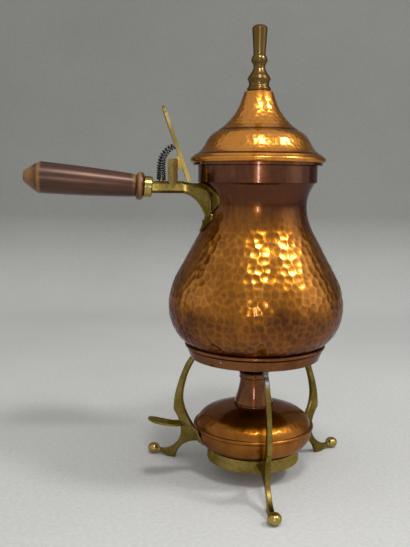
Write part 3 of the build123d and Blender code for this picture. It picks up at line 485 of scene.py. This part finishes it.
def wood_finish(name, worn_places):
    """Dark varnished wood with grain along the handle, worn to its bare golden tone at some places.

    worn_places holds pairs: how far along X a place is, and how far its wear reaches.
    """
    tones = bpy.context.scene.pot_finish
    centre = middle("handle_grip")
    finish = Finish(name, metallic=0.0, specular_ior_level=0.8, specular_tint=(1.0, 0.66, 0.52, 1.0))
    grain = finish.noise(finish.place(centre, (0, HANDLE_TILT, 0), (14, 330, 330)), 1.0, 6.0, 0.62)
    pores = finish.noise(finish.place(centre, (0, HANDLE_TILT, 0), (60, 1500, 1500)), 1.0, 2.0)
    clouds = finish.noise(finish.place(centre), 45.0, 4.0)
    across = finish.node("ShaderNodeSeparateXYZ", {}, {"Vector": finish.place()}, out="X")
    worn = None
    for place, width in worn_places:
        near = 1.0 - finish.maths("ABSOLUTE", across - place) / width
        worn = near if worn is None else finish.maths("MAXIMUM", worn, near)
    bare = finish.level(worn + (clouds - 0.5) * 1.5 + (grain - 0.5) * 0.6, 0.25, 0.85)
    colour = finish.ramp(grain * 0.65 + clouds * 0.35, (0.38, tones.wood_dark), (0.62, tones.wood_light))
    colour = finish.mix(bare, colour, tones.wood_worn)
    finish.set(
        base_color=finish.mix(finish.level(pores, 0.62, 0.70) * 0.6, colour, grey(0.006)),
        roughness=finish.level(grain, 0.3, 0.7, 0.28, 0.38) + bare * 0.15,
        normal=finish.bump(grain * 0.6 + pores * 0.4, 0.00012, 0.45),
    )
    return finish.material


def wick_finish(name):
    """Off-white cotton, charred at the top."""
    finish = Finish(name, metallic=0.0, roughness=0.95)
    here = finish.place(UPRIGHT)
    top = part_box("wick")[1][2]
    charred = finish.level(finish.height(here), top - 0.004, top - 0.0005)
    weave = finish.noise(here, 900.0, 2.0)
    cotton = finish.mix(weave, (0.42, 0.38, 0.30, 1.0), (0.74, 0.70, 0.60, 1.0))
    finish.set(base_color=finish.mix(charred, cotton, grey(0.02)), normal=finish.bump(weave, 0.0003, 0.8))
    return finish.material


def coat(material, *nodes):
    """Give a finish to CAD nodes, on their own slots."""
    for node in nodes:
        for place in NODES[node].material_slots:
            place.material = material


# Shapes


def radius_at(node, height):
    """How far a round CAD node reaches from the upright axis at a height, seen from its right side."""
    start = Vector((UPRIGHT.x + 1.0, UPRIGHT.y, height))
    found, place, _, _ = NODES[node].ray_cast(start, Vector((-1.0, 0.0, 0.0)))
    if not found:
        raise RuntimeError(f"{node} isn't found at a height of {height} m")
    return place.x - UPRIGHT.x


def wall_line(node, low, high, step):
    """Points up a round CAD node's outside, spaced evenly along its slope."""
    fine = 400
    heights = [low + (high - low) * i / fine for i in range(fine + 1)]
    line = [Vector((radius_at(node, height), 0.0, height)) for height in heights]
    points = [line[0]]
    for point in line[1:]:
        if (point - points[-1]).length >= step:
            points.append(point)
    return points


def eased(points, rounds):
    """Soften the hollows of a line of points, so that it never goes inside the wall that it follows."""
    reaches = [point.x for point in points]
    for _ in range(rounds):
        middles = [(a + 2.0 * b + c) / 4.0 for a, b, c in zip(reaches, reaches[1:], reaches[2:])]
        reaches = [reaches[0], *middles, reaches[-1]]
    return [Vector((max(point.x, reach), 0.0, point.z)) for point, reach in zip(points, reaches)]


def drawn_line(name, points):
    """A new mesh that is a line through some points, left in edit mode with everything selected."""
    bpy.ops.object.select_all(action="DESELECT")
    bpy.ops.mesh.primitive_plane_add(size=0.001, location=points[0])
    line = bpy.context.active_object
    line.name = name
    bpy.ops.object.transform_apply(location=True, rotation=True, scale=True)
    bpy.ops.object.mode_set(mode="EDIT")
    bpy.ops.mesh.select_all(action="SELECT")
    bpy.ops.mesh.merge(type="CENTER")
    for before, after in zip(points, points[1:]):
        bpy.ops.mesh.extrude_vertices_move(TRANSFORM_OT_translate={"value": after - before})
    bpy.ops.mesh.select_all(action="SELECT")
    return line


def spun_skin(name, points, lift, turns):
    """Spin a line of points about the upright axis, a little outside of the wall that it follows."""
    skin = drawn_line(name, [UPRIGHT + point for point in points])
    bpy.ops.mesh.spin(steps=turns, angle=2.0 * math.pi, center=UPRIGHT, axis=(0.0, 0.0, 1.0))
    bpy.ops.mesh.select_all(action="SELECT")
    bpy.ops.mesh.remove_doubles(threshold=1e-5)
    bpy.ops.mesh.normals_make_consistent(inside=False)
    bpy.ops.object.mode_set(mode="OBJECT")
    outwards = sum(
        face.normal.dot(face.center - UPRIGHT - Vector((0.0, 0.0, face.center.z)))
        for face in skin.data.polygons
    )
    bpy.ops.object.mode_set(mode="EDIT")
    if outwards < 0.0:
        bpy.ops.mesh.flip_normals()
    bpy.ops.transform.shrink_fatten(value=lift)
    bpy.ops.object.mode_set(mode="OBJECT")
    bpy.ops.object.shade_smooth()
    return skin


def blows(points, facet, chance):
    """Where the hammer falls: rings of blows up a spun wall, each ring set off from the one below it."""
    ring_gap = facet * 0.88
    places = []
    travelled = facet
    before = points[0]
    for point in points:
        travelled += (point - before).length
        before = point
        if travelled < ring_gap:
            continue
        travelled = 0.0
        count = max(3, round(2.0 * math.pi * point.x / facet))
        start = chance.random()
        for blow in range(count):
            turn = 2.0 * math.pi * (blow + start + chance.uniform(-0.40, 0.40)) / count
            height = point.z + chance.uniform(-0.36, 0.36) * facet
            places.append(UPRIGHT + Vector((point.x * math.cos(turn), point.x * math.sin(turn), height)))
    return places


def hammer(skin, points, facet, depth, calm, fade):
    """Strike a skin with dished marks that meet in ridges and fade out towards both of its edges."""
    places = blows(points, facet, random.Random(skin.name))
    tree = KDTree(len(places))
    for number, place in enumerate(places):
        tree.insert(place, number)
    tree.balance()
    top = points[-1].z - calm
    bottom = points[0].z
    bottom_fade = 0.005
    mark_reach = facet * 0.62
    ridge_reach = facet * 0.34
    dish = skin.vertex_groups.new(name="dish")
    ridges = []
    for corner in skin.data.vertices:
        nearest, second = (distance for _, _, distance in tree.find_n(corner.co, 2))
        height = corner.co.z
        share = min(1.0, max(0.0, (top - height) / fade), max(0.0, (height - bottom) / bottom_fade))
        dish.add([corner.index], share * min(1.0, (nearest / mark_reach) ** 2), "REPLACE")
        ridges.append(share * (1.0 - min(1.0, (second - nearest) / ridge_reach)))
    skin.data.attributes.new(RIDGE, "FLOAT", "POINT").data.foreach_set("value", ridges)
    struck = skin.modifiers.new("struck", "DISPLACE")
    struck.direction = "NORMAL"
    struck.mid_level = 0.0
    struck.strength = depth
    struck.vertex_group = "dish"
    bpy.context.view_layer.objects.active = skin
    bpy.ops.object.modifier_apply(modifier=struck.name)


# Operators


class HammerCopper(bpy.types.Operator):
    """Lay a hammered skin over the belly, the lid and the burner's dome"""

    bl_idname = "pot.hammer_copper"
    bl_label = "Hammered skins"

    def execute(self, context):
        settings = context.scene.pot_hammer
        for name, node, body, low, high, mesh_step, size, depth, calm, fade in HAMMERED:
            points = eased(wall_line(node, low, high, mesh_step), EASE_ROUNDS)
            widest = max(point.x for point in points)
            skin = spun_skin(name, points, SKIN_LIFT, int(2.0 * math.pi * widest / mesh_step))
            hammer(skin, points, settings.facet * size, settings.depth * depth, calm, fade)
            skin.data.materials.append(NODES[node].material_slots[0].material)
            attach(skin, body)
        return {"FINISHED"}


class BandBell(bpy.types.Operator):
    """Add the drum at the foot of the burner's bell and the band round its mouth"""

    bl_idname = "pot.band_bell"
    bl_label = "Bell's bands"

    def execute(self, context):
        drum = (
            (BELL_REACH - 0.0032, BELL_LOW + 0.0012), (BELL_REACH - 0.0004, BELL_LOW + 0.0012),
            (BELL_REACH, BELL_LOW + 0.0018), (BELL_REACH, BELL_LOW + 0.0050),
            (BELL_REACH - 0.0008, BELL_LOW + 0.0058), (BELL_REACH - 0.0036, BELL_LOW + 0.0062),
        )
        mouth = radius_at("burner_bell", BELL_HIGH - 0.0008)
        band = (
            (mouth - 0.0010, BELL_HIGH - 0.0056), (mouth + 0.0003, BELL_HIGH - 0.0056),
            (mouth + 0.0008, BELL_HIGH - 0.0050), (mouth + 0.0003, BELL_HIGH - 0.0044),
            (mouth + 0.0004, BELL_HIGH - 0.0012), (mouth + 0.0009, BELL_HIGH - 0.0006),
            (mouth + 0.0004, BELL_HIGH), (mouth - 0.0008, BELL_HIGH),
        )
        for name, section in (("bell_drum", drum), ("bell_band", band)):
            ring = spun_skin(name, [Vector((reach, 0.0, height)) for reach, height in section], 0.0, 96)
            edges = ring.modifiers.new("edges", "BEVEL")
            edges.width = 0.0003
            edges.segments = 3
            edges.limit_method = "ANGLE"
            bpy.context.view_layer.objects.active = ring
            bpy.ops.object.modifier_apply(modifier=edges.name)
            ring.data.materials.append(NODES["burner_bell"].material_slots[0].material)
            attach(ring, "wick_holder")
        return {"FINISHED"}


class SeatBracket(bpy.types.Operator):
    """Close the seam between the bracket's flare and its saddle with brazed brass"""

    bl_idname = "pot.seat_bracket"
    bl_label = "Bracket's seam"

    def execute(self, context):
        low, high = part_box("handle_bracket")
        bottom = low[2] + 0.0060
        top = high[2] - 0.0018
        front = UPRIGHT.x - radius_at("pot_body", (bottom + top) / 2) - 0.0004
        inner = SEAM_HALF_WIDTH - SEAM_CORNER
        corners = [
            (inner, bottom), (SEAM_HALF_WIDTH, bottom + SEAM_CORNER),
            (SEAM_HALF_WIDTH, top - SEAM_CORNER), (inner, top),
        ]
        corners += [(-side, height) for side, height in reversed(corners)]
        outline = [Vector((front, UPRIGHT.y + side, height)) for side, height in corners]
        seam = drawn_line("bracket_seam", [*outline, outline[0]])
        bpy.ops.mesh.remove_doubles(threshold=1e-5)
        bpy.ops.mesh.edge_face_add()
        bpy.ops.mesh.extrude_region_move(TRANSFORM_OT_translate={"value": (SEAM_DEPTH, 0.0, 0.0)})
        bpy.ops.mesh.select_all(action="SELECT")
        bpy.ops.mesh.normals_make_consistent(inside=False)
        bpy.ops.object.mode_set(mode="OBJECT")
        wall = wall_line("pot_body", bottom - 0.004, COLLAR_BOTTOM - 0.0002, 0.001)
        wall = [Vector((0.0, 0.0, wall[0].z)), *wall, Vector((0.0, 0.0, wall[-1].z))]
        cutter = spun_skin("wall_cutter", wall, 0.0, 128)
        cut = seam.modifiers.new("cut", "BOOLEAN")
        cut.operation = "DIFFERENCE"
        cut.object = cutter
        bpy.context.view_layer.objects.active = seam
        bpy.ops.object.modifier_apply(modifier=cut.name)
        bpy.data.objects.remove(cutter)
        seam.data.materials.append(NODES["handle_bracket"].material_slots[0].material)
        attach(seam, "pot")
        return {"FINISHED"}


class DressCopper(bpy.types.Operator):
    """Give the copper pieces their patina"""

    bl_idname = "pot.dress_copper"
    bl_label = "Copper"

    def execute(self, context):
        # belly=1.0 gives the pot's body its painted shade with patina, low on the belly and up the neck.
        coat(copper_finish("belly_copper", 0.01, belly=1.0, streaky=0.9), "pot_body", "spout")
        # The lid's grooves get thin lines of painted shade.
        coat(copper_finish("lid_copper", 0.21, streaky=0.8, grooves=LID_GROOVES), "lid")
        coat(copper_finish("burner_copper", -0.03, dull=0.08), "burner_dome", "burner_cup")
        coat(copper_finish("bell_copper", -0.19, shine=0.25), "burner_bell")
        coat(copper_finish("band_copper", -0.13, tarnish=0.4), "stand_ring")
        coat(
            copper_finish("collar_copper", -0.25, tarnish=0.3, shine=0.05),
            "neck_collar", "lid_plug", "pot_base",
        )
        return {"FINISHED"}


class DressBrass(bpy.types.Operator):
    """Give the brass pieces their aged finish"""

    bl_idname = "pot.dress_brass"
    bl_label = "Brass"

    def execute(self, context):
        coat(brass_finish("leg_brass", solder_from=SOLDER_FROM), "leg_front", "leg_left", "leg_right")
        coat(
            brass_finish("ring_brass", bright=0.04),
            "gallery_ring", "gallery_rivets", "burner_handle", "burner_rivets",
        )
        coat(brass_finish("finial_brass", brown=0.8), "finial", "finial_nut", "wick_tube")
        coat(brass_finish("bracket_brass", bright=-0.02), "handle_bracket", "bracket_rivets")
        coat(
            brass_finish("rubbed_brass", bright=0.11),
            "ferrule", "lever_post", "thumb_lever", "spring_peg",
        )
        coat(brass_finish("ball_brass", bright=0.24), "foot_ball_front", "foot_ball_left", "foot_ball_right")
        return {"FINISHED"}


class DressSteel(bpy.types.Operator):
    """Give the spring and the pins their dark steel"""

    bl_idname = "pot.dress_steel"
    bl_label = "Steel"

    def execute(self, context):
        coat(steel_finish("dark_steel"), "lever_spring", "lever_pin", "ferrule_pin", "handle_rod")
        return {"FINISHED"}


class WindSpring(bpy.types.Operator):
    """Wind the lever's dense coil spring, which bends between the arm and the lever"""

    bl_idname = "pot.wind_spring"
    bl_label = "Spring"

    def execute(self, context):
        settings = context.scene.pot_spring
        length = COIL_STRAIGHT + COIL_BEND * COIL_BEND_ANGLE
        foot = middle("spring_peg")
        foot.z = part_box("lever_spring")[0][2] + settings.wire / 2
        points = []
        for step in range(settings.turns * COIL_STEPS + 1):
            share = step / (settings.turns * COIL_STEPS)
            along = length * (COIL_CLOSENESS + (1.0 - COIL_CLOSENESS) * share) * share
            bent = max(0.0, along - COIL_STRAIGHT) / COIL_BEND
            centre = Vector((COIL_BEND * (1.0 - math.cos(bent)), 0.0, 0.0))
            centre.z = min(along, COIL_STRAIGHT) + COIL_BEND * math.sin(bent)
            radius = COIL_WIDE + (COIL_NARROW - COIL_WIDE) * share ** 2
            turn = 2.0 * math.pi * step / COIL_STEPS
            outward = Vector((math.cos(bent), 0.0, -math.sin(bent))) * (radius * math.cos(turn))
            outward.y = radius * math.sin(turn)
            points.append(foot + centre + outward)
        drawn_line("coil_spring", points)
        bpy.ops.object.mode_set(mode="OBJECT")
        bpy.ops.object.convert(target="CURVE")
        coil = context.active_object
        coil.data.bevel_depth = settings.wire / 2
        coil.data.bevel_resolution = 3
        coil.data.use_fill_caps = True
        bpy.ops.object.convert(target="MESH")
        coil = context.active_object
        bpy.ops.object.shade_smooth()
        coil.data.materials.clear()
        coil.data.materials.append(NODES["lever_spring"].material_slots[0].material)
        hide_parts("lever_spring")
        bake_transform(coil)
        return {"FINISHED"}


class DressWood(bpy.types.Operator):
    """Give the grip and its bead their varnished wood"""

    bl_idname = "pot.dress_wood"
    bl_label = "Wood"

    def execute(self, context):
        low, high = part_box("handle_grip")
        ridge = low[0] + 0.0135
        coat(
            wood_finish("varnished_wood", ((ridge, 0.004), (low[0] + 0.004, 0.012), (high[0], 0.006))),
            "handle_grip",
        )
        coat(wood_finish("worn_bead_wood", ((middle("handle_bead").x, 0.0036),)), "handle_bead")
        return {"FINISHED"}


class DressWick(bpy.types.Operator):
    """Give the wick its cotton"""

    bl_idname = "pot.dress_wick"
    bl_label = "Wick"

    def execute(self, context):
        coat(wick_finish("wick_cotton"), "wick")
        return {"FINISHED"}


def aimed_lamp(name, bearing, elevation, distance, width, height, power):
    """A soft lamp that faces the pot from a bearing, counted to the right of the camera, and an elevation."""
    turn = math.radians(bearing) - CAMERA_SIDE
    rise = math.radians(elevation)
    towards = Vector((math.sin(turn) * math.cos(rise), -math.cos(turn) * math.cos(rise), math.sin(rise)))
    data = bpy.data.lights.new(name, "AREA")
    data.shape = "RECTANGLE"
    data.size = width
    data.size_y = height
    data.energy = power
    lamp = bpy.data.objects.new(name, data)
    bpy.context.scene.collection.objects.link(lamp)
    lamp.location = AIM + towards * distance
    lamp.rotation_euler = (-towards).to_track_quat("-Z", "Y").to_euler()


def add_backdrop(settings):
    """A floor that turns up into a backdrop behind the pot, in one soft curve."""
    away = Vector((math.sin(CAMERA_YAW), math.cos(CAMERA_YAW), 0.0))
    aside = Vector((away.y, -away.x, 0.0))
    in_front = 3.0
    turned_at = 0.75
    curve = 0.45
    wall_height = 2.4
    half_width = 3.2
    steps = 24
    profile = [UPRIGHT - away * in_front, UPRIGHT + away * turned_at]
    for step in range(1, steps + 1):
        turn = math.pi / 2 * step / steps
        reach = turned_at + curve * math.sin(turn)
        profile.append(UPRIGHT + away * reach + Vector((0.0, 0.0, curve * (1.0 - math.cos(turn)))))
    profile.append(UPRIGHT + away * (turned_at + curve) + Vector((0.0, 0.0, wall_height)))
    backdrop = drawn_line("floor", [point - aside * half_width for point in profile])
    bpy.ops.mesh.extrude_edges_move(TRANSFORM_OT_translate={"value": aside * half_width * 2.0})
    bpy.ops.object.mode_set(mode="OBJECT")
    bpy.ops.object.shade_smooth()
    cloth = Finish("pale_floor", metallic=0.0, roughness=0.9)
    here = cloth.place()
    soft = cloth.noise(here, 3.0, 4.0) * 0.4 + cloth.noise(here, 260.0, 3.0, 0.7) * 0.6
    # Painted shade: as the cloth rises into the wall, it turns from the floor's colour to the darker backdrop
    # colour.
    wall_shade = cloth.level(cloth.height(here), 0.0, curve * 0.4)
    paint = cloth.mix(wall_shade, settings.floor_colour, settings.shaded_wall_colour)
    grain = cloth.mix(cloth.level(soft, 0.35, 0.65), grey(0.82), grey(1.0))
    cloth.set(base_color=cloth.mix(1.0, paint, grain, "MULTIPLY"))
    backdrop.data.materials.append(cloth.material)


def add_camera():
    """The camera that the photograph was fitted with."""
    forward = Vector((
        math.sin(CAMERA_YAW) * math.cos(CAMERA_PITCH),
        math.cos(CAMERA_YAW) * math.cos(CAMERA_PITCH),
        -math.sin(CAMERA_PITCH),
    ))
    level_right = Vector((math.cos(CAMERA_YAW), -math.sin(CAMERA_YAW), 0.0))
    level_down = forward.cross(level_right)
    right = level_right * math.cos(CAMERA_ROLL) + level_down * math.sin(CAMERA_ROLL)
    down = level_down * math.cos(CAMERA_ROLL) - level_right * math.sin(CAMERA_ROLL)
    data = bpy.data.cameras.new("photo_camera")
    data.sensor_fit = "VERTICAL"
    data.sensor_height = SENSOR
    data.lens = FOCAL_PIXELS / PHOTO_HEIGHT * SENSOR
    data.clip_start = 0.01
    camera = bpy.data.objects.new("photo_camera", data)
    bpy.context.scene.collection.objects.link(camera)
    turn = Matrix((right, -down, -forward)).transposed().to_4x4()
    place = UPRIGHT + Vector((
        -CAMERA_DISTANCE * math.sin(CAMERA_SIDE), -CAMERA_DISTANCE * math.cos(CAMERA_SIDE), CAMERA_HEIGHT
    ))
    camera.matrix_world = Matrix.Translation(place) @ turn
    bpy.context.scene.camera = camera


class SetStage(bpy.types.Operator):
    """Add the floor, the light and the camera"""

    bl_idname = "pot.set_stage"
    bl_label = "Stage"

    def execute(self, context):
        settings = context.scene.pot_stage
        add_backdrop(settings)
        world = bpy.data.worlds.new("soft_room")
        context.scene.world = world
        world.use_nodes = True
        back = world.node_tree.nodes["Background"]
        back.inputs["Color"].default_value = settings.room_colour
        back.inputs["Strength"].default_value = settings.room_strength
        aimed_lamp("ceiling_lamp", 12, 59, 1.3, 0.20, 0.20, settings.ceiling_power)
        aimed_lamp("side_ceiling_lamp", 72, 48, 1.3, 0.24, 0.24, settings.ceiling_power)
        aimed_lamp("window", 2, 5, 1.4, 0.07, 0.30, settings.window_power)
        aimed_lamp("side_panel", 78, 22, 1.6, 0.9, 1.2, settings.side_power)
        add_camera()
        context.scene.view_settings.view_transform = "Standard"
        return {"FINISHED"}


class PotPanel(bpy.types.Panel):
    """The pot's operators and settings"""

    bl_idname = "VIEW3D_PT_copper_pot"
    bl_label = "Copper pot"
    bl_space_type = "VIEW_3D"
    bl_region_type = "UI"
    bl_category = "Copper pot"

    def draw(self, context):
        for operator in OPERATORS:
            self.layout.operator(operator.bl_idname)
        for group in GROUPS:
            settings = getattr(context.scene, group)
            for name in settings.__annotations__:
                self.layout.prop(settings, name)


GROUPS = {
    "pot_finish": FinishSettings,
    "pot_hammer": HammerSettings,
    "pot_spring": SpringSettings,
    "pot_stage": StageSettings,
}
OPERATORS = (
    DressCopper,
    HammerCopper,
    BandBell,
    DressBrass,
    SeatBracket,
    DressSteel,
    WindSpring,
    DressWood,
    DressWick,
    SetStage,
)
CLASSES = (*GROUPS.values(), *OPERATORS, PotPanel)


def register():
    """Register the classes and give the scene its settings."""
    for kind in CLASSES:
        bpy.utils.register_class(kind)
    for name, group in GROUPS.items():
        setattr(bpy.types.Scene, name, PointerProperty(type=group))


def unregister():
    """Take the settings and the classes away again."""
    for name in GROUPS:
        delattr(bpy.types.Scene, name)
    for kind in reversed(CLASSES):
        bpy.utils.unregister_class(kind)


def main():
    """Register the add-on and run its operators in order."""
    register()
    for operator in OPERATORS:
        group, name = operator.bl_idname.split(".")
        getattr(getattr(bpy.ops, group), name)()


if __name__ == "__main__":
    main()
